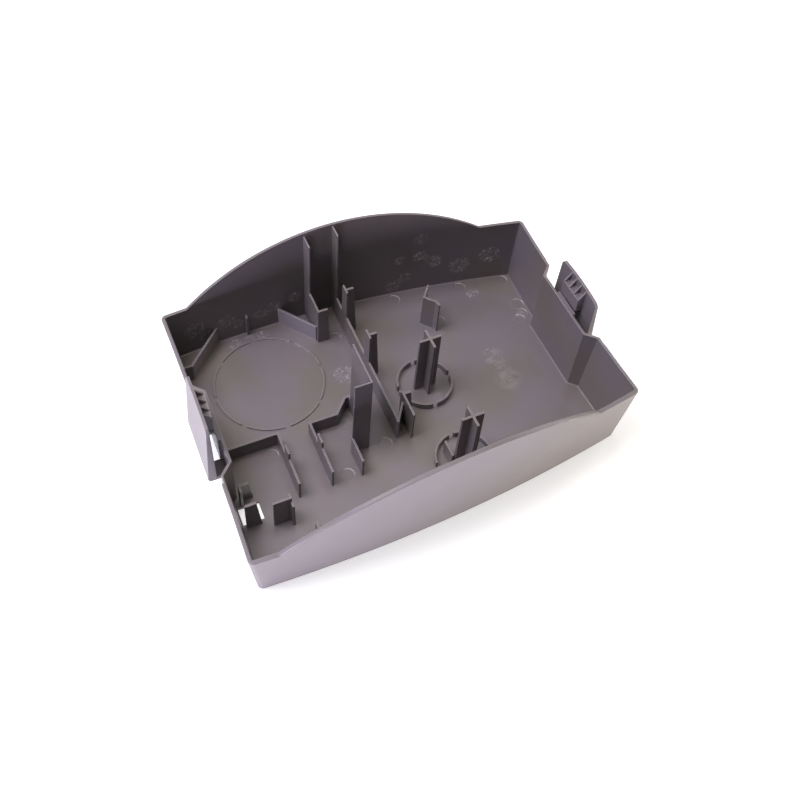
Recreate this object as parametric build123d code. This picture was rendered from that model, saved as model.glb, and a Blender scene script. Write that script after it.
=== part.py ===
from build123d import *
from math import atan2, degrees, hypot, radians, tan
import os

# Injection moulded tub housing: one solid with a tapered, bowed plan and a crowned rim.
#
# The origin lies at the middle of the outer bottom face. X runs along the length, from the wide
# end (-X) to the narrow end (+X), Y runs across and Z points up out of the open side.

# --- driving dimensions, millimetres and degrees -------------------------------------------
LENGTH = 220.0            # over the rims of the two end walls
WIDTH_LEFT = 153.4        # outer bottom width at the wide end
WIDTH_RIGHT = 127.6       # outer bottom width at the narrow end
BOW_FRONT = 6.2           # outward bow of the front wall at mid length
BOW_BACK = 8.3
BOW_LEFT = -1.0           # the end walls curve slightly inwards
BOW_RIGHT = -1.9
PLAN_SHIFT = 1.7          # the bottom outline lies this much nearer the back
DRAFT_FRONT = 5.1         # outward lean of each wall
DRAFT_BACK = 1.0
DRAFT_LEFT = 5.9
DRAFT_RIGHT = 1.5
WALL = 2.0
FLOOR = 2.2
CORNER_RADIUS = 3.0
INNER_RADIUS = 1.0
FLOOR_FILLET = 0.8
SINK = 0.6                # how far ribs and posts run into the floor

RIM_LEFT = 39.5           # height of the flat rim at the wide end
RIM_RIGHT = 48.9          # and at the narrow end
CROWN_TOP = 75.0          # apex of the arched rim of the long walls
CROWN_RADIUS = 145.0
RIM_BREAK = 0.6           # broken outer edge of the rim

RIB = 1.3                 # common rib thickness at the root
RIB_DRAFT = 0.25
LOW_RIB = 12.8            # rib tops above the outer bottom face
MID_RIB = 16.6
STEP_RIB = 22.0
DIVIDER_TOP = 18.6
POST_TOP = 41.6

BOSS_TOP = 47.3
BOSS_SPAN = 12.6          # tip to tip of the cross section at the top
BOSS_BLADE = 1.3          # blade thickness at the top
BOSS_DRAFT = 0.4
BOSS_CENTRES = [(21.3, 5.8), (21.1, -47.2)]
SEAT_RADIUS = 15.8        # ring wall round each boss
SEAT_TOP = 6.6
SPEAKER_CENTRE = (-61.2, 39.6)
SPEAKER_RADIUS = 31.5
SPEAKER_TOP = 3.0

PIN_DEPTH = 0.2           # ejector pin marks in the floor
PIN_RADIUS = 3.8
PIN_MARKS = [(-75.6, -6.0), (-41.4, -32.2), (-14.8, -21.8), (-14.4, 56.1),
             (30.0, 70.2), (72.6, 64.8), (100.4, 60.8), (99.7, 32.7)]

RECESS_HALF = 22.2        # half width of the set-in stretch of each end wall
RECESS_FACE = 102.0       # outer face of the set-in wall from the middle
RECESS_WALL = 1.3
STEP_HALF = 32.8          # the rim's outer band ends this far from the middle
STEP_FACE = 107.9         # outer face between that step and the shoulder
LATCH_HALF_ROOT = 19.0
LATCH_HALF_TIP = 18.0
LATCH_MIDDLE = 0.8        # the latches lie slightly towards the back
LATCH_TOP = 65.0          # middle of the arched top edge
LATCH_SHOULDER = 63.4     # and its height at both ends
LATCH_ROUND = 3.0
LATCH_ROOT = 18.6
LATCH_INNER = 108.5       # inner face of the latch arm from the middle
LATCH_TIP_THICKNESS = 1.5
LATCH_ROOT_THICKNESS = 4.6
SHELF = 2.4
HOOK_HALF = 8.0
HOOK_FACE = 104.3         # inner face of the hook from the middle
HOOK_UNDER = 49.0
HOOK_NOSE = 58.2
HOOK_TOP = 64.6
HOOK_RIB = 0.9
HOOK_RIBS = 4
PAD_FACE = 103.8          # stop pad on the outside of the set-in wall
PAD_HALF = 8.6

HALF_LENGTH = LENGTH / 2
LEFT_FOOT = HALF_LENGTH - RIM_LEFT * tan(radians(DRAFT_LEFT))
RIGHT_FOOT = HALF_LENGTH - RIM_RIGHT * tan(radians(DRAFT_RIGHT))
ABOVE = CROWN_TOP + 10


def outline(height, inset):
    """Closed plan outline of the tub at a height, moved inwards by inset."""
    left = -LEFT_FOOT - height * tan(radians(DRAFT_LEFT)) + inset
    right = RIGHT_FOOT + height * tan(radians(DRAFT_RIGHT)) - inset
    back = height * tan(radians(DRAFT_BACK)) - inset + PLAN_SHIFT
    front = -height * tan(radians(DRAFT_FRONT)) + inset + PLAN_SHIFT

    def half_width(x):
        share = (x + HALF_LENGTH) / LENGTH
        return (WIDTH_LEFT + (WIDTH_RIGHT - WIDTH_LEFT) * share) / 2

    back_left = Vector(left, half_width(left) + back, height)
    back_right = Vector(right, half_width(right) + back, height)
    front_left = Vector(left, -half_width(left) + front, height)
    front_right = Vector(right, -half_width(right) + front, height)
    middle_x = (left + right) / 2
    back_middle = Vector(middle_x, half_width(middle_x) + back + BOW_BACK, height)
    front_middle = Vector(middle_x, -half_width(middle_x) + front - BOW_FRONT, height)
    left_middle = Vector(left - BOW_LEFT, (back_left.Y + front_left.Y) / 2, height)
    right_middle = Vector(right + BOW_RIGHT, (back_right.Y + front_right.Y) / 2, height)
    return Wire([
        ThreePointArc(back_left, back_middle, back_right).edge(),
        ThreePointArc(back_right, right_middle, front_right).edge(),
        ThreePointArc(front_right, front_middle, front_left).edge(),
        ThreePointArc(front_left, left_middle, back_left).edge(),
    ])


def tub_form(bottom, inset, corner_radius):
    """Drafted solid between two outlines with its four upright corners rounded."""
    form = Solid.make_loft([outline(bottom, inset), outline(ABOVE, inset)], ruled=True)
    corners = [edge for edge in form.edges() if abs(edge.tangent_at(0.5).Z) > 0.9]
    return form.fillet(corner_radius, corners)


def recess_prism(side, face, bottom):
    """Trapezoid prism outside the set-in stretch of one end wall."""
    inner = RECESS_HALF + (RECESS_FACE - face) * tan(radians(22.5))
    run = 60.0            # the shoulders leave at 45 degrees and end outside the tub
    corners = [
        (side * face, inner),
        (side * face, -inner),
        (side * (face + run), -inner - run),
        (side * (face + run), inner + run),
    ]
    plan = Plane.XY.offset(bottom) * make_face(Polyline(*corners, close=True))
    return extrude(plan, ABOVE + 20)


def crown_cut():
    """Everything above the rim: flat at both ends and one arc along the long walls."""
    centre_z = CROWN_TOP - CROWN_RADIUS
    left_x = -(CROWN_RADIUS**2 - (RIM_LEFT - centre_z)**2)**0.5
    right_x = (CROWN_RADIUS**2 - (RIM_RIGHT - centre_z)**2)**0.5
    reach = HALF_LENGTH + 30
    top = ABOVE + 30
    profile = Wire([
        Line((-reach, RIM_LEFT), (left_x, RIM_LEFT)).edge(),
        ThreePointArc((left_x, RIM_LEFT), (0, CROWN_TOP), (right_x, RIM_RIGHT)).edge(),
        Line((right_x, RIM_RIGHT), (reach, RIM_RIGHT)).edge(),
        Line((reach, RIM_RIGHT), (reach, top)).edge(),
        Line((reach, top), (-reach, top)).edge(),
        Line((-reach, top), (-reach, RIM_LEFT)).edge(),
    ])
    return extrude(Plane.XZ * Face(profile), WIDTH_LEFT, both=True)


def rim_edges(form):
    """Outer edges of the rim, without the two lines where the arch meets the flats."""
    high = [edge for edge in form.edges() if edge.bounding_box().min.Z > RIM_LEFT - 0.01]
    return [edge for edge in high if abs(edge.tangent_at(0.5).Y) < 0.9 or abs(edge.center().X) > 105]


def tub():
    """Open shell: outer form less the cavity, with both end recesses and the crowned rim."""
    outer = tub_form(0, 0, CORNER_RADIUS) - crown_cut()
    outer = chamfer(rim_edges(outer), RIM_BREAK)
    cavity = Part() + tub_form(FLOOR, WALL, INNER_RADIUS)
    for side in (-1, 1):
        outer -= recess_prism(side, RECESS_FACE, -5)
        outer -= Pos(side * (STEP_FACE + 5), 0, RIM_RIGHT) * Box(10, 2 * STEP_HALF, 100)
        cavity -= recess_prism(side, RECESS_FACE - RECESS_WALL, -5)
    cavity = fillet(cavity.edges().filter_by(lambda edge: edge.bounding_box().max.Z < FLOOR + 0.01),
                    FLOOR_FILLET)
    shell = outer - cavity
    for x, y in PIN_MARKS:
        shell -= Pos(x, y, FLOOR) * Cylinder(PIN_RADIUS, 2 * PIN_DEPTH)
    return shell


def rib_space():
    """Space that ribs may fill: it ends in the middle of every outer wall and at the rim."""
    space = Part() + tub_form(0, WALL / 2, CORNER_RADIUS)
    for side in (-1, 1):
        space -= recess_prism(side, RECESS_FACE - RECESS_WALL / 2, -5)
    return space - crown_cut()


def wall_strip(points, top, thickness=RIB, bottom=FLOOR - SINK):
    """Drafted rib that follows plan points from the floor to a level top."""
    result = Part()
    for (x0, y0), (x1, y1) in zip(points, points[1:]):
        span = hypot(x1 - x0, y1 - y0) + thickness
        turn = degrees(atan2(y1 - y0, x1 - x0))
        place = Pos((x0 + x1) / 2, (y0 + y1) / 2, bottom) * Rot(0, 0, turn)
        result += place * extrude(Rectangle(span, thickness), top - bottom, taper=RIB_DRAFT)
    return result


def leg(x, y, foot, tip, top, bottom=FLOOR - SINK, thickness=RIB):
    """Rib along X whose free end slopes from foot length to tip length."""
    corners = [(0, bottom), (foot, bottom), (tip, top), (0, top)]
    face = make_face(Polyline(*corners, close=True))
    return Pos(x, y, 0) * extrude(Plane.XZ * face, thickness / 2, both=True)


def arc_wall(centre, radius, top, thickness, gaps, gap_width):
    """Low round wall on the floor, broken at the angles in gaps."""
    ring = Circle(radius + thickness / 2) - Circle(radius - thickness / 2)
    for angle in gaps:
        spot = Rot(0, 0, angle) * Pos(radius, 0) * Rectangle(4 * thickness, gap_width)
        ring -= spot
    return Pos(centre[0], centre[1], FLOOR - SINK) * extrude(ring, top - FLOOR + SINK)


def boss(centre):
    """Cross shaped support post: two drafted blades that pass through one another."""
    height = BOSS_TOP - FLOOR + SINK
    spread = 2 * height * tan(radians(BOSS_DRAFT))
    blade = extrude(Rectangle(BOSS_SPAN + spread, BOSS_BLADE + spread), height, taper=BOSS_DRAFT)
    return Pos(centre[0], centre[1], FLOOR - SINK) * (blade + Rot(0, 0, 90) * blade)


def hook():
    """Catch block on the inner face of the latch arm, with four sloping ribs on its top."""
    depth = LATCH_INNER + 0.4 - HOOK_FACE
    block = Pos(HOOK_FACE, 0, HOOK_UNDER) * Box(
        depth, 2 * HOOK_HALF, HOOK_NOSE - HOOK_UNDER, align=(Align.MIN, Align.CENTER, Align.MIN))
    slope = make_face(Polyline(
        (HOOK_FACE, HOOK_NOSE - 0.2), (LATCH_INNER + 0.4, HOOK_NOSE - 0.2),
        (LATCH_INNER + 0.4, HOOK_TOP), (HOOK_FACE, HOOK_NOSE), close=True))
    rib = extrude(Plane.XZ * slope, HOOK_RIB / 2, both=True)
    pitch = (2 * HOOK_HALF - HOOK_RIB) / (HOOK_RIBS - 1)
    for index in range(HOOK_RIBS):
        block += Pos(0, index * pitch - HOOK_HALF + HOOK_RIB / 2, 0) * rib
    return block


def latch(side, rim):
    """Snap arm on a shelf outside the set-in wall, with its hook and the stop pad."""
    outer_root = LATCH_INNER + LATCH_ROOT_THICKNESS
    outer_tip = LATCH_INNER + LATCH_TIP_THICKNESS
    profile = make_face(Polyline(
        (LATCH_INNER, LATCH_ROOT), (outer_root - 1.2, LATCH_ROOT), (outer_root, LATCH_ROOT + 1.6),
        (outer_tip, LATCH_TOP), (LATCH_INNER, LATCH_TOP), close=True))
    arm = extrude(Plane.XZ * profile, LATCH_HALF_ROOT, both=True)
    front = make_face(Wire([
        Line((LATCH_HALF_TIP, LATCH_SHOULDER), (LATCH_HALF_ROOT, LATCH_ROOT)).edge(),
        Line((LATCH_HALF_ROOT, LATCH_ROOT), (-LATCH_HALF_ROOT, LATCH_ROOT)).edge(),
        Line((-LATCH_HALF_ROOT, LATCH_ROOT), (-LATCH_HALF_TIP, LATCH_SHOULDER)).edge(),
        ThreePointArc((-LATCH_HALF_TIP, LATCH_SHOULDER), (0, LATCH_TOP),
                      (LATCH_HALF_TIP, LATCH_SHOULDER)).edge(),
    ]))
    high = [corner for corner in front.vertices() if corner.Y > LATCH_ROOT + 1]
    front = fillet(high, LATCH_ROUND)
    arm &= extrude(Plane.YZ * front, LATCH_INNER + 20)

    shelf_in = RECESS_FACE - 0.6
    shelf = Pos(shelf_in, 0, LATCH_ROOT) * Box(
        LATCH_INNER + 1 - shelf_in, 2 * LATCH_HALF_ROOT, SHELF,
        align=(Align.MIN, Align.CENTER, Align.MIN))
    shelf -= Pos((PAD_FACE + LATCH_INNER) / 2, -LATCH_MIDDLE, LATCH_ROOT) * Box(
        LATCH_INNER - PAD_FACE, 2 * PAD_HALF, 4 * SHELF)
    pad = Pos(shelf_in, 0, LATCH_ROOT) * Box(
        PAD_FACE - shelf_in, 2 * PAD_HALF, rim - LATCH_ROOT,
        align=(Align.MIN, Align.CENTER, Align.MIN))
    whole = Pos(0, LATCH_MIDDLE, 0) * (arm + shelf + hook()) + pad
    return whole if side > 0 else mirror(whole, about=Plane.YZ)


def pocket_wall(x):
    """Rib with a low stretch, a raised step and a middle height tail."""
    return (wall_strip([(x, 0.0), (x, -14.0)], LOW_RIB)
            + wall_strip([(x, -14.0), (x, -19.0)], STEP_RIB)
            + wall_strip([(x, -19.0), (x, -34.6)], MID_RIB))


def housing():
    """The whole moulding as one solid."""
    body = tub()

    # Back wall fins, the short rib and the corner web.
    ribs = wall_strip([(-61.6, 77.4), (-61.6, 82.0)], 18.3)
    ribs += wall_strip([(-24.2, 71.8), (-24.2, 82.0)], 70.5)
    ribs += wall_strip([(-7.2, 72.2), (-7.2, 81.6)], 73.2)
    ribs += wall_strip([(-106.5, 58.2), (-100.3, 58.2)], 15.0)
    ribs += wall_strip([(-100.3, 58.2), (-78.0, 80.4)], 15.0)

    # Stepped bracket beside the first fin.
    ribs += wall_strip([(-42.0, 80.5), (-25.4, 59.5)], 14.8)
    ribs += wall_strip([(-24.4, 57.2), (-24.4, 72.0)], 31.0)
    ribs += leg(-24.4, 57.2, 6.6, 5.6, 31.0)

    # Long divider with its two posts, and the return to the third post.
    ribs += wall_strip([(-7.2, 73.0), (-7.2, -20.0)], DIVIDER_TOP)
    for post_y in (58.6, 24.2):
        ribs += wall_strip([(-7.2, post_y + 3.4), (-7.2, post_y - 2.2)], POST_TOP)
        ribs += leg(-7.2, post_y, 7.2, 4.6, POST_TOP)
    ribs += wall_strip([(-7.2, -20.0), (0.4, -9.0)], DIVIDER_TOP)
    ribs += wall_strip([(0.4, -7.2), (0.4, -22.8)], 25.0)
    ribs += leg(0.4, -8.6, 6.4, 4.4, 25.0)

    # Tall angle wall and the walls of the two front pockets.
    ribs += wall_strip([(-24.6, 5.2), (-24.6, -19.8), (-33.6, -19.8)], 65.0)
    ribs += wall_strip([(-33.9, -19.8), (-33.9, -34.6)], MID_RIB)
    ribs += wall_strip([(-51.1, -0.3), (-35.2, -0.3), (-27.3, 8.2), (-24.6, 8.2),
                        (-24.6, 4.0)], LOW_RIB)
    ribs += wall_strip([(-104.0, 0.0), (-69.7, 0.0)], LOW_RIB)
    ribs += pocket_wall(-69.7)
    ribs += pocket_wall(-51.1)

    # Snap posts round the floor window, and the angle post beside them.
    ribs += leg(-99.4, -25.2, 6.8, 4.8, 17.0)
    ribs += wall_strip([(-99.4, -25.2), (-99.4, -28.4)], 17.0)
    ribs += leg(-101.2, -41.4, 8.4, 6.2, 25.0)
    ribs += wall_strip([(-87.0, -45.2), (-78.0, -45.2)], 25.0)
    ribs += wall_strip([(-77.8, -41.6), (-77.8, -48.6)], 22.0)
    ribs += wall_strip([(-67.5, -54.5), (-67.5, -57.4)], 6.8)

    # Bent locating rib and the rib inside the front seat.
    ribs += wall_strip([(44.4, 55.4), (38.6, 48.2), (43.7, 42.6), (44.6, 39.8)], 27.0)
    ribs += wall_strip([(13.3, -38.4), (13.3, -47.0)], 13.0)

    for centre in BOSS_CENTRES:
        ribs += boss(centre)
    ribs += arc_wall(SPEAKER_CENTRE, SPEAKER_RADIUS, SPEAKER_TOP, 1.0, range(0, 360, 45), 3.0)
    ribs += arc_wall(BOSS_CENTRES[0], SEAT_RADIUS, SEAT_TOP, 1.1, (92, 178, 268, 2), 2.6)
    ribs += arc_wall(BOSS_CENTRES[1], SEAT_RADIUS, SEAT_TOP, 1.1, (92, 178, 38), 2.6)
    body += ribs & rib_space()

    body -= Pos(-96.7, -34.6, 0) * Box(11.6, 10.4, 20)
    body += latch(1, RIM_RIGHT)
    body += latch(-1, RIM_LEFT)
    return body


os.makedirs("parts", exist_ok=True)
moulding = housing()
print("solids", len(moulding.solids()), "volume", round(moulding.volume / 1000, 1), "cm3")
export_step(moulding.solids()[0] if len(moulding.solids()) == 1 else moulding, "parts/housing.step")
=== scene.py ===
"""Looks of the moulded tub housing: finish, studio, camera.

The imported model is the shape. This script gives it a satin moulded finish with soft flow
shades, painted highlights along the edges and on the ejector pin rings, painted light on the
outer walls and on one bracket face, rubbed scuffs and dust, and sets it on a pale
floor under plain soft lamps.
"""
from __future__ import annotations

import logging
import math
from dataclasses import dataclass, field
from enum import Enum
from typing import Any, Union

import bmesh
import bpy
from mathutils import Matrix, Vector

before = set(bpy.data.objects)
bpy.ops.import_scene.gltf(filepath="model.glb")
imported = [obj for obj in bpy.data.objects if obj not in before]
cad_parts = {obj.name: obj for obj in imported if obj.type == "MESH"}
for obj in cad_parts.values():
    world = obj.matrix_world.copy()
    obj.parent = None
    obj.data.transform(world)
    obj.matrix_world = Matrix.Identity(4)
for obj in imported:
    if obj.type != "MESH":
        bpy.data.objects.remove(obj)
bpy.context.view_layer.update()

LOG = logging.getLogger("housing")
MM = 0.001

Number = Union[float, int]
Colour = tuple[float, float, float]
Point = tuple[float, float, float]
Step = tuple[float, float]              # start and end of a smooth step
Band = tuple[float, float, float]       # start, end and soft margin of a band
WHITE: Colour = (1.0, 1.0, 1.0)
TO_FRONT: Point = (0.0, -1.0, 0.0)
UP: Point = (0.0, 0.0, 1.0)
NOISE_MIDDLE = 0.5


# --- shader maths ---------------------------------------------------------------------------
class Term:
    """A number that a shader works out, written with ordinary operators."""

    def __init__(self, graph: "Graph", socket: bpy.types.NodeSocket) -> None:
        """Keep the socket and the graph that new nodes go into."""
        self.graph = graph
        self.socket = socket

    def _math(self, operation: str, *values: Union["Term", Number]) -> "Term":
        """Add one Math node.

        Args:
            operation: The node's operation.
            values: Its inputs, terms or plain numbers.

        Returns:
            The node's value.
        """
        return self.graph.value("ShaderNodeMath", {"operation": operation}, dict(enumerate(values)))

    def __add__(self, other: Union["Term", Number]) -> "Term":
        """Sum."""
        return self._math("ADD", self, other)

    def __sub__(self, other: Union["Term", Number]) -> "Term":
        """Difference."""
        return self._math("SUBTRACT", self, other)

    def __rsub__(self, other: Number) -> "Term":
        """Difference from a plain number."""
        return self._math("SUBTRACT", other, self)

    def __mul__(self, other: Union["Term", Number]) -> "Term":
        """Product."""
        return self._math("MULTIPLY", self, other)

    def __truediv__(self, other: Union["Term", Number]) -> "Term":
        """Quotient."""
        return self._math("DIVIDE", self, other)

    __radd__ = __add__
    __rmul__ = __mul__

    def below(self, limit: Number) -> "Term":
        """1 where the value is below a limit, 0 elsewhere."""
        return self._math("LESS_THAN", self, limit)

    def larger(self, other: Union["Term", Number]) -> "Term":
        """The larger of two values."""
        return self._math("MAXIMUM", self, other)

    def ramp(self, start: float, end: float) -> "Term":
        """Smooth step from 0 at start to 1 at end.

        Args:
            start: Value that gives 0.
            end: Value that gives 1. It may be below start.

        Returns:
            The step, between 0 and 1.
        """
        if start > end:
            return 1 - self.ramp(end, start)
        return self.graph.value(
            "ShaderNodeMapRange", {"interpolation_type": "SMOOTHSTEP"},
            {"Value": self, "From Min": start, "From Max": end})

    def band(self, inner: float, outer: float, soft: float) -> "Term":
        """Level 1 between two values, with a soft margin on each side.

        Args:
            inner: Value where the level part starts.
            outer: Value where it ends.
            soft: Width of each margin.

        Returns:
            The band, between 0 and 1.
        """
        return self.ramp(inner - soft, inner) * self.ramp(outer + soft, outer)


@dataclass(frozen=True)
class Lumps:
    """The look of a noise.

    Attributes:
        size: Rough size of its lumps, in the units of the vector that it is read at.
        detail: Octaves.
        rough: Weight of the fine octaves.
    """

    size: float
    detail: float = 2.0
    rough: float = 0.5


class Graph:
    """The nodes of one material or of the world."""

    def __init__(self, owner: Union[bpy.types.Material, bpy.types.World]) -> None:
        """Empty the owner's node tree, to build it afresh.

        Args:
            owner: The material or the world.
        """
        owner.use_nodes = True
        self.owner = owner
        self.nodes = owner.node_tree.nodes
        self.links = owner.node_tree.links
        self.nodes.clear()

    def node(self, kind: str, settings: dict[str, Any], inputs: dict[Any, Any]) -> bpy.types.Node:
        """Add one node.

        Args:
            kind: The node's type.
            settings: Properties of the node, set before its sockets.
            inputs: Values, terms or sockets, by input name or index.

        Returns:
            The node.
        """
        made = self.nodes.new(kind)
        for key, value in settings.items():
            setattr(made, key, value)
        for key, value in inputs.items():
            if isinstance(value, Term):
                value = value.socket
            if isinstance(value, bpy.types.NodeSocket):
                self.links.new(value, made.inputs[key])
            else:
                made.inputs[key].default_value = value
        return made

    def value(self, kind: str, settings: dict[str, Any], inputs: dict[Any, Any]) -> Term:
        """Add one node and return its first output as a term."""
        return Term(self, self.node(kind, settings, inputs).outputs[0])

    def vector(self, operation: str, *values: Any) -> bpy.types.NodeSocket:
        """Add one Vector Math node.

        Args:
            operation: The node's operation.
            values: Its inputs, sockets or plain vectors.

        Returns:
            The node's vector.
        """
        made = self.node("ShaderNodeVectorMath", {"operation": operation}, dict(enumerate(values)))
        return made.outputs["Vector"]

    def measure(self, operation: str, *values: Any) -> Term:
        """Add one Vector Math node and return its number, such as a length or a dot product."""
        made = self.node("ShaderNodeVectorMath", {"operation": operation}, dict(enumerate(values)))
        return Term(self, made.outputs["Value"])

    def scaled(self, vector: Any, factor: Union[Term, Number]) -> bpy.types.NodeSocket:
        """A vector times a number."""
        made = self.node("ShaderNodeVectorMath", {"operation": "SCALE"}, {0: vector, "Scale": factor})
        return made.outputs["Vector"]

    def place(self) -> bpy.types.NodeSocket:
        """Object coordinates, in metres."""
        return self.node("ShaderNodeTexCoord", {}, {}).outputs["Object"]

    def facing(self) -> bpy.types.NodeSocket:
        """The way that the bare surface faces."""
        return self.node("ShaderNodeNewGeometry", {}, {}).outputs["True Normal"]

    def split(self, vector: bpy.types.NodeSocket) -> tuple[Term, Term, Term]:
        """The three parts of a vector."""
        made = self.node("ShaderNodeSeparateXYZ", {}, {0: vector})
        return tuple(Term(self, out) for out in made.outputs)

    def noise(self, vector: Any, lumps: Lumps) -> Term:
        """Soft noise about 0.5.

        Args:
            vector: Where it is read.
            lumps: How it looks.

        Returns:
            The noise, about 0 to 1.
        """
        return self.value("ShaderNodeTexNoise", {}, {
            "Vector": vector, "Scale": 1 / lumps.size,
            "Detail": lumps.detail, "Roughness": lumps.rough})

    def mix(self, share: Any, first: Any, second: Any) -> bpy.types.NodeSocket:
        """Colour between first, at share 0, and second, at share 1."""
        made = self.node("ShaderNodeMix", {"data_type": "RGBA"}, {0: share, 6: first, 7: second})
        return made.outputs[2]

    def shown(self) -> Term:
        """Pick the rays that show a surface itself, straight, in gloss or through glass.

        Returns:
            1 for those rays, 0 for the rays that only carry light.
        """
        path = self.node("ShaderNodeLightPath", {}, {})
        camera, gloss, glass = (Term(self, path.outputs[f"Is {name} Ray"])
                                for name in ("Camera", "Glossy", "Transmission"))
        return camera.larger(gloss).larger(glass)

    def finish(self, shader: bpy.types.Node) -> Any:
        """Join the shader to the output.

        Args:
            shader: The node whose first output is the surface or the background.

        Returns:
            The finished material or world.
        """
        kind = "World" if isinstance(self.owner, bpy.types.World) else "Material"
        self.node(f"ShaderNodeOutput{kind}", {}, {0: shader.outputs[0]})
        return self.owner


def rgba(colour: Colour) -> tuple[float, float, float, float]:
    """Colour with full cover."""
    return (*colour, 1.0)


# --- marks on the moulding ------------------------------------------------------------------
class Face(Enum):
    """The face of the tub that a mark lies on, by the axes that run along it."""

    BACK_WALL = (1.0, 0.0, 1.0)
    FLOOR = (1.0, 1.0, 0.0)


@dataclass(frozen=True)
class Mark:
    """One round mark: its two places along its face and its radius, in millimetres."""

    across: float
    along: float
    radius: float

    def centre(self, face: Face) -> Point:
        """Find the mark's middle.

        Args:
            face: The face it lies on.

        Returns:
            The middle in metres, flat on its face.
        """
        if face is Face.BACK_WALL:
            return (self.across * MM, 0.0, self.along * MM)
        return (self.across * MM, self.along * MM, 0.0)


@dataclass(frozen=True)
class Scatter:
    """Round marks that share one pattern on one face."""

    face: Face
    marks: tuple[Mark, ...]
    turned_step: Step = (0.8, 0.9)              # how squarely the surface faces the marked side
    wall_step: Step = (60 * MM, 61 * MM)        # the back wall lies behind this
    floor_step: Step = (3.0 * MM, 2.6 * MM)     # the floor lies below this

    def local(self, graph: Graph, place: Any) -> bpy.types.NodeSocket:
        """Place within a mark, in radii. It is 0 away from all marks, and adds up where two meet.

        Args:
            graph: The material's nodes.
            place: Object coordinates.

        Returns:
            The way from the mark's middle, of length 1 at its rim.
        """
        flat = graph.vector("MULTIPLY", place, self.face.value)
        total = None
        for mark in self.marks:
            offset = graph.vector("SUBTRACT", flat, mark.centre(self.face))
            radius = mark.radius * MM
            inside = graph.measure("LENGTH", offset).below(radius)
            part = graph.scaled(offset, inside / radius)
            total = part if total is None else graph.vector("ADD", total, part)
        return total

    def cover(self, graph: Graph, place: Any) -> Term:
        """Pick the face that carries the marks.

        Args:
            graph: The material's nodes.
            place: Object coordinates.

        Returns:
            1 on that face, 0 elsewhere.
        """
        facing = graph.facing()
        _, depth, height = graph.split(place)
        if self.face is Face.BACK_WALL:
            turned = graph.measure("DOT_PRODUCT", facing, TO_FRONT).ramp(*self.turned_step)
            return turned * depth.ramp(*self.wall_step)
        turned = graph.measure("DOT_PRODUCT", facing, UP).ramp(*self.turned_step)
        return turned * height.ramp(*self.floor_step)


@dataclass(frozen=True)
class Bursts(Scatter):
    """Rubbed scuffs: short strokes that run out from a middle, as a turned object leaves."""

    strokes: Lumps = Lumps(0.13, 1.0)           # in radii
    stroke_step: Step = (0.53, 0.64)
    bend: float = 0.15                          # how much a stroke wanders along its length
    variety: float = 90.0                       # how much the strokes differ from mark to mark
    gaps: Lumps = Lumps(2.4 * MM)
    gap_step: Step = (0.36, 0.58)
    reach: Band = (0.22, 0.62, 0.20)            # in radii

    def mask(self, graph: Graph, place: Any) -> Term:
        """Draw the strokes.

        Args:
            graph: The material's nodes.
            place: Object coordinates.

        Returns:
            Their cover.
        """
        local = self.local(graph, place)
        radius = graph.measure("LENGTH", local)
        way = graph.vector("NORMALIZE", local)
        bent = graph.vector("ADD", way, graph.scaled(local, self.bend))
        bent = graph.vector("ADD", bent, graph.scaled(place, self.variety))
        strokes = graph.noise(bent, self.strokes).ramp(*self.stroke_step)
        broken = graph.noise(place, self.gaps).ramp(*self.gap_step)
        return strokes * broken * radius.band(*self.reach) * self.cover(graph, place)


@dataclass(frozen=True)
class RingHighlights(Scatter):
    """Painted highlights on the witness rings of the ejector pins, brightest on the side that faces the
    lamps.
    """

    bright_side: Point = (0.75, 0.66, 0.0)
    bright_step: Step = (0.25, 0.9)
    faint: float = 0.10                         # cover of the dull side
    line: Band = (0.88, 0.95, 0.05)             # in radii
    ring_patches: Lumps = Lumps(5 * MM)
    ring_patch_step: Step = (0.35, 0.6)

    def mask(self, graph: Graph, place: Any) -> Term:
        """Draw the painted ring highlights.

        Args:
            graph: The material's nodes.
            place: Object coordinates.

        Returns:
            Their cover.
        """
        local = self.local(graph, place)
        radius = graph.measure("LENGTH", local)
        side = graph.measure("DOT_PRODUCT", graph.vector("NORMALIZE", local), self.bright_side)
        ring_patchy = graph.noise(place, self.ring_patches).ramp(*self.ring_patch_step)
        bright = side.ramp(*self.bright_step) * (1 - self.faint) * ring_patchy
        return radius.band(*self.line) * (self.faint + bright) * self.cover(graph, place)


@dataclass(frozen=True)
class Smudges(Scatter):
    """Pale dusty patches where something stood or was wiped."""

    heart_step: Step = (0.02, 0.10)             # in radii
    rim_step: Step = (1.0, 0.4)
    patches: Lumps = Lumps(4 * MM, 3.0, 0.6)
    patch_step: Step = (0.35, 0.65)

    def mask(self, graph: Graph, place: Any) -> Term:
        """Draw the patches.

        Args:
            graph: The material's nodes.
            place: Object coordinates.

        Returns:
            Their cover.
        """
        local = self.local(graph, place)
        radius = graph.measure("LENGTH", local)
        patchy = graph.noise(place, self.patches).ramp(*self.patch_step)
        spot = radius.ramp(*self.heart_step) * radius.ramp(*self.rim_step)
        return spot * patchy * self.cover(graph, place)


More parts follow.
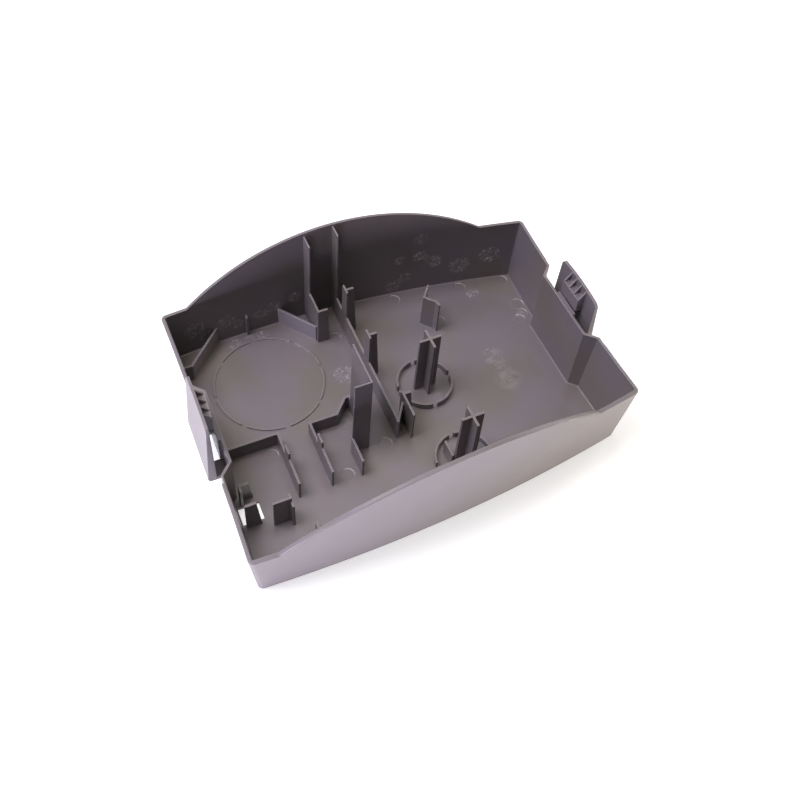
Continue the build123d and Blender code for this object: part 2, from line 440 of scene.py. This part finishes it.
WALL_SCUFFS = Bursts(Face.BACK_WALL, (
    Mark(-92.5, 20.0, 8.5), Mark(-86.0, 12.0, 6.0), Mark(-73.5, 17.5, 7.5), Mark(-67.0, 13.0, 5.5),
    Mark(-52.5, 14.5, 6.5), Mark(-44.0, 18.0, 6.5), Mark(-31.0, 21.0, 6.0),
    Mark(39.0, 15.0, 5.5), Mark(31.0, 9.0, 6.5), Mark(47.4, 32.0, 6.5), Mark(57.0, 25.0, 7.0),
    Mark(73.4, 17.5, 9.5), Mark(47.0, 47.0, 6.0), Mark(92.0, 23.5, 9.0), Mark(35.0, 31.0, 5.0)))
FLOOR_SCUFFS = Bursts(Face.FLOOR, (
    Mark(-71.3, 73.5, 5.5), Mark(-54.0, 73.5, 5.0), Mark(-19.0, 29.5, 8.5), Mark(78.5, 58.0, 5.5),
    Mark(99.0, 32.0, 4.5)))
PIN_RING_RADIUS = 4.2
# painted highlights on the ejector pin rings
PIN_RING_HIGHLIGHTS = RingHighlights(Face.FLOOR, tuple(Mark(x, y, PIN_RING_RADIUS) for x, y in (
    (-75.6, -6.0), (-41.4, -32.2), (-14.8, -21.8), (-14.4, 56.1),
    (30.0, 70.2), (72.6, 64.8), (100.4, 60.8), (99.7, 32.7))))
SMALL_RING_HIGHLIGHTS = RingHighlights(Face.FLOOR, (
    Mark(100.5, 40.0, 4.6), Mark(96.7, 29.5, 3.6), Mark(66.8, 13.2, 2.6), Mark(50.4, 45.9, 3.0)))
FLOOR_SMUDGES = Smudges(Face.FLOOR, (
    Mark(69.0, 9.0, 9.0), Mark(69.5, -8.0, 10.0), Mark(-30.0, -0.9, 4.5), Mark(26.0, 2.0, 7.0),
    Mark(-62.0, 74.0, 4.0)))


# --- finish of the moulding -----------------------------------------------------------------
@dataclass(frozen=True)
class MouldedPlastic:
    """Dark warm grey plastic, satin from the tool's polish."""

    name: str = "moulded_plastic"
    colour: Colour = (0.158, 0.135, 0.148)
    warm_shade: Colour = (0.146, 0.128, 0.120)
    cool_shade: Colour = (0.153, 0.136, 0.157)
    # painted light on the outer walls, turning to a painted warm reflection towards the foot
    outer_light_colour: Colour = (0.190, 0.166, 0.190)
    foot_reflection_colour: Colour = (0.188, 0.161, 0.152)
    # painted light on the slanted face of the low bracket
    bracket_light_colour: Colour = (0.29, 0.26, 0.31)
    # painted highlight along the edges
    edge_highlight_colour: Colour = (0.54, 0.51, 0.57)
    # shared by the scuffs, the smudges, the dust and the painted ring highlights
    scuff_and_highlight_colour: Colour = (0.62, 0.57, 0.58)
    roughness: float = 0.34
    sheen: Lumps = Lumps(20 * MM, 3.0)
    sheen_swing: float = 0.10
    scuff_roughness: float = 0.3
    specular: float = 0.5
    grain: Lumps = Lumps(0.7 * MM)
    grain_depth: float = 0.2 * MM
    grain_strength: float = 0.06

    warm: Lumps = Lumps(42 * MM, 3.0)
    warm_step: Step = (0.40, 0.62)
    cool: Lumps = Lumps(30 * MM, 4.0, 0.55)
    cool_step: Step = (0.46, 0.64)
    cool_share: float = 0.8
    cool_shift: Point = (0.31, 0.17, 0.05)      # keeps the two shades apart

    outer_light_ends_step: Step = (94 * MM, 98 * MM)   # the outer faces lie beyond this
    outer_light_sides_step: Step = (58 * MM, 62 * MM)
    foot_reflection_step: Step = (-110 * MM, 60 * MM)
    foot_reflection_lean: float = 1.5                 # the painted warm reflection sinks towards the foot

    # where the painted light on the bracket face lies
    bracket_light_facing: Point = (-0.78, -0.62, 0.0)
    bracket_light_turned_step: Step = (0.93, 0.98)
    bracket_light_across: Band = (-42 * MM, -26 * MM, 1.5 * MM)
    bracket_light_depth_step: Step = (57 * MM, 58 * MM)
    bracket_light_height_step: Step = (17 * MM, 15 * MM)

    edge_radius: float = 0.45 * MM
    edge_samples: int = 6
    edge_share: float = 0.9
    edge_step: Step = (0.02, 0.28)
    edge_floor_share: float = 0.08
    edge_height_step: Step = (2.6 * MM, 2.9 * MM)
    # patches that make the painted edge highlights uneven
    highlight_patches: Lumps = Lumps(9 * MM, 3.0)
    highlight_patch_least: float = 0.72
    highlight_patch_swing: float = 0.5

    wall_scuff_share: float = 1.0
    floor_scuff_share: float = 0.55
    pin_highlight_share: float = 0.7
    small_highlight_share: float = 0.6
    smudge_share: float = 0.13
    dust_share: float = 0.5
    dust_spacing: float = 7 * MM
    dust_step: Step = (0.045, 0.02)
    dust_chosen_step: Step = (0.72, 0.78)

    def tone(self, graph: Graph, place: Any) -> bpy.types.NodeSocket:
        """Mix the plain colour with the melt's flow shades and painted light on the bracket and outer
        walls.

        Args:
            graph: The material's nodes.
            place: Object coordinates.

        Returns:
            The colour without edges and scuffs.
        """
        warm = graph.noise(place, self.warm).ramp(*self.warm_step)
        moved = graph.vector("ADD", place, self.cool_shift)
        cool = graph.noise(moved, self.cool).ramp(*self.cool_step)
        colour = graph.mix(warm, rgba(self.colour), rgba(self.warm_shade))
        colour = graph.mix(cool * self.cool_share, colour, rgba(self.cool_shade))
        # painted light on the slanted bracket face
        colour = graph.mix(self.painted_bracket_light(graph, place), colour, rgba(self.bracket_light_colour))
        x, _, z = graph.split(place)
        # painted light on the outer walls, with a painted warm reflection towards the foot at the right
        foot = (x - z * self.foot_reflection_lean).ramp(*self.foot_reflection_step)
        painted_outer_light = graph.mix(foot, rgba(self.outer_light_colour), rgba(self.foot_reflection_colour))
        return graph.mix(self.painted_outer_light(graph, place), colour, painted_outer_light)

    def painted_bracket_light(self, graph: Graph, place: Any) -> Term:
        """Pick the slanted face of the low bracket at the back wall, which gets a painted light.

        Args:
            graph: The material's nodes.
            place: Object coordinates.

        Returns:
            1 on that face, 0 elsewhere.
        """
        x, y, z = graph.split(place)
        turned = graph.measure("DOT_PRODUCT", graph.facing(), self.bracket_light_facing)
        near = x.band(*self.bracket_light_across) * y.ramp(*self.bracket_light_depth_step)
        return turned.ramp(*self.bracket_light_turned_step) * near * z.ramp(*self.bracket_light_height_step)

    def painted_outer_light(self, graph: Graph, place: Any) -> Term:
        """Pick the outer faces of the walls, which get a painted light.

        Args:
            graph: The material's nodes.
            place: Object coordinates.

        Returns:
            1 on that side, 0 elsewhere.
        """
        x, y, _ = graph.split(place)
        face_x, face_y, _ = graph.split(graph.facing())
        ends = (x * face_x).ramp(*self.outer_light_ends_step)
        return (y * face_y).ramp(*self.outer_light_sides_step).larger(ends)

    def painted_edge_highlights(self, graph: Graph, place: Any, rounded: Any) -> Term:
        """Draw the painted highlights along the edges. Those at the corners along the floor stay faint.

        Args:
            graph: The material's nodes.
            place: Object coordinates.
            rounded: The way the surface faces with its edges rounded.

        Returns:
            Their cover.
        """
        bend = 1 - graph.measure("DOT_PRODUCT", rounded, graph.facing())
        height = graph.split(place)[2].ramp(*self.edge_height_step)
        raised = self.edge_floor_share + (1 - self.edge_floor_share) * height
        highlight_patches = self.highlight_patch_least + graph.noise(place, self.highlight_patches) * self.highlight_patch_swing
        return bend.ramp(*self.edge_step) * raised * highlight_patches

    def scuffs_and_highlights(self, graph: Graph, place: Any) -> Term:
        """Draw the scuffs, the painted ring highlights, the smudges and the dust.

        Args:
            graph: The material's nodes.
            place: Object coordinates.

        Returns:
            Their cover together.
        """
        dust = graph.node("ShaderNodeTexVoronoi", {}, {"Vector": place, "Scale": 1 / self.dust_spacing})
        speck = Term(graph, dust.outputs["Distance"]).ramp(*self.dust_step)
        cover = speck * graph.split(dust.outputs["Color"])[0].ramp(*self.dust_chosen_step) * self.dust_share
        for marks, share in (
                (WALL_SCUFFS, self.wall_scuff_share), (FLOOR_SCUFFS, self.floor_scuff_share),
                (PIN_RING_HIGHLIGHTS, self.pin_highlight_share), (SMALL_RING_HIGHLIGHTS, self.small_highlight_share),
                (FLOOR_SMUDGES, self.smudge_share)):
            cover = cover + marks.mask(graph, place) * share
        return cover

    def material(self) -> bpy.types.Material:
        """Build the finish.

        Returns:
            The material.
        """
        graph = Graph(bpy.data.materials.new(self.name))
        place = graph.place()
        bevel = graph.node("ShaderNodeBevel", {"samples": self.edge_samples}, {"Radius": self.edge_radius})
        rounded = bevel.outputs[0]
        scuffs_and_highlights = self.scuffs_and_highlights(graph, place)
        # scuffs, smudges and dust, with the painted highlights on the pin rings
        colour = graph.mix(scuffs_and_highlights, self.tone(graph, place), rgba(self.scuff_and_highlight_colour))
        # painted highlights along the edges
        painted_edge_highlights = self.painted_edge_highlights(graph, place, rounded) * self.edge_share
        colour = graph.mix(painted_edge_highlights, colour, rgba(self.edge_highlight_colour))
        bump = graph.node("ShaderNodeBump", {}, {
            "Strength": self.grain_strength, "Distance": self.grain_depth,
            "Height": graph.noise(place, self.grain), "Normal": rounded})
        swing = (graph.noise(place, self.sheen) - NOISE_MIDDLE) * self.sheen_swing
        shader = graph.node("ShaderNodeBsdfPrincipled", {}, {
            "Base Color": colour, "Roughness": self.roughness + swing + scuffs_and_highlights * self.scuff_roughness,
            "Specular IOR Level": self.specular, "Normal": bump.outputs[0]})
        return graph.finish(shader)


@dataclass
class Housing:
    """The one-piece moulding."""

    node: str = "housing"
    plastic: MouldedPlastic = field(default_factory=MouldedPlastic)

    def dress(self) -> None:
        """Give the moulding its finish, its mesh left as it is."""
        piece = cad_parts[self.node]
        piece.data.materials.clear()
        piece.data.materials.append(self.plastic.material())
        for polygon in piece.data.polygons:
            polygon.material_index = 0
        LOG.info("dressed %s in %s", piece.name, self.plastic.name)


# --- studio ---------------------------------------------------------------------------------
@dataclass(frozen=True)
class Softbox:
    """One soft rectangular lamp."""

    name: str
    place: Point
    size: tuple[float, float]
    power: float
    colour: Colour = WHITE
    target: Point = (0.0, 0.0, 0.03)

    def light(self) -> None:
        """Hang the lamp and turn it to its target."""
        lamp = bpy.data.lights.new(self.name, "AREA")
        lamp.shape = "RECTANGLE"
        lamp.size, lamp.size_y = self.size
        lamp.energy = self.power
        lamp.color = self.colour
        holder = bpy.data.objects.new(self.name, lamp)
        holder.location = self.place
        aim = Vector(self.target) - Vector(self.place)
        holder.rotation_euler = aim.to_track_quat("-Z", "Y").to_euler()
        holder.visible_camera = False
        bpy.context.scene.collection.objects.link(holder)
        LOG.info("lamp %s", self.name)


@dataclass(frozen=True)
class Viewpoint:
    """Camera by its place, its turn and its lens."""

    place: Point = (-0.14707, -0.27215, 0.47603)
    turn_degrees: Point = (39.468, -2.748, -23.096)
    focal_pixels: float = 986.13
    centre_pixels: tuple[float, float] = (384.18, 292.25)
    image_pixels: int = 800
    sensor: float = 36.0
    clip: tuple[float, float] = (0.01, 20.0)

    def look(self) -> None:
        """Create the scene's camera."""
        data = bpy.data.cameras.new("viewpoint")
        data.sensor_width = self.sensor
        data.lens = self.focal_pixels / self.image_pixels * self.sensor
        half = self.image_pixels / 2
        data.shift_x = (half - self.centre_pixels[0]) / self.image_pixels
        data.shift_y = (self.centre_pixels[1] - half) / self.image_pixels
        data.clip_start, data.clip_end = self.clip
        holder = bpy.data.objects.new("viewpoint", data)
        holder.location = self.place
        holder.rotation_euler = [math.radians(angle) for angle in self.turn_degrees]
        bpy.context.scene.collection.objects.link(holder)
        bpy.context.scene.camera = holder


@dataclass
class Studio:
    """Pale floor, plain light round it and soft lamps."""

    floor_half: float = 6.0
    floor_glow: Colour = (0.55, 0.55, 0.55)
    floor_fade: Step = (0.35, 1.2)
    floor_colour: Colour = (0.82, 0.82, 0.82)
    sky: Colour = (0.006, 0.006, 0.006)
    lamps: tuple[Softbox, ...] = (
        Softbox("over_left", (-0.50, 0.12, 1.10), (0.5, 0.5), 11.0, (0.96, 0.93, 1.0)),
        Softbox("left", (-1.00, 0.10, 0.62), (0.6, 0.6), 5.0, (0.84, 0.81, 1.0)),
        Softbox("right", (1.00, 0.10, 0.65), (0.6, 0.6), 5.0, (1.0, 0.95, 0.86)),
        Softbox("back", (0.0, 1.05, 0.80), (1.0, 0.5), 3.0, (0.88, 0.83, 1.0)),
        Softbox("zenith", (-0.05, 0.10, 1.20), (0.9, 0.30), 4.2, (1.0, 0.93, 0.84)),
        Softbox("front_low_right", (0.30, -0.36, 0.010), (0.6, 0.018), 1.05, (1.0, 0.90, 0.72),
                (0.07, -0.07, 0.02)),
        Softbox("front_low_left", (-0.30, -0.36, 0.010), (0.6, 0.018), 1.65, (0.83, 0.80, 1.0),
                (-0.07, -0.07, 0.02)),
    )

    def floor(self) -> None:
        """Lay the floor. It is white to the eye and keeps a soft shadow."""
        mesh = bpy.data.meshes.new("floor")
        plane = bmesh.new()
        bmesh.ops.create_grid(plane, x_segments=1, y_segments=1, size=self.floor_half)
        plane.to_mesh(mesh)
        plane.free()
        piece = bpy.data.objects.new("floor", mesh)
        bpy.context.scene.collection.objects.link(piece)
        graph = Graph(bpy.data.materials.new("pale_floor"))
        plain = graph.node("ShaderNodeBsdfDiffuse", {}, {"Color": rgba(self.floor_colour)})
        reach = graph.measure("LENGTH", graph.place()).ramp(*self.floor_fade)
        glow = graph.node("ShaderNodeEmission", {}, {
            "Color": graph.mix(reach, rgba(self.floor_glow), rgba(WHITE))})
        lit = graph.node("ShaderNodeAddShader", {}, {0: plain.outputs[0], 1: glow.outputs[0]})
        mesh.materials.append(graph.finish(graph.node(
            "ShaderNodeMixShader", {}, {0: graph.shown(), 1: plain.outputs[0], 2: lit.outputs[0]})))
        LOG.info("laid %s", piece.name)

    def surround(self) -> None:
        """Fill the world with plain light, white where it is seen."""
        graph = Graph(bpy.data.worlds.new("surround"))
        sky = graph.node("ShaderNodeBackground", {}, {"Color": rgba(self.sky)})
        white = graph.node("ShaderNodeBackground", {}, {"Color": rgba(WHITE)})
        bpy.context.scene.world = graph.finish(graph.node(
            "ShaderNodeMixShader", {}, {0: graph.shown(), 1: sky.outputs[0], 2: white.outputs[0]}))

    def build(self) -> None:
        """Make the floor, the surround and the lamps."""
        self.floor()
        self.surround()
        for lamp in self.lamps:
            lamp.light()


def main() -> None:
    """Dress the housing, set up the studio and place the camera."""
    logging.basicConfig(level=logging.INFO, format="%(message)s")
    Housing().dress()
    Studio().build()
    Viewpoint().look()
    bpy.context.scene.view_settings.view_transform = "Standard"


if __name__ == "__main__":
    main()
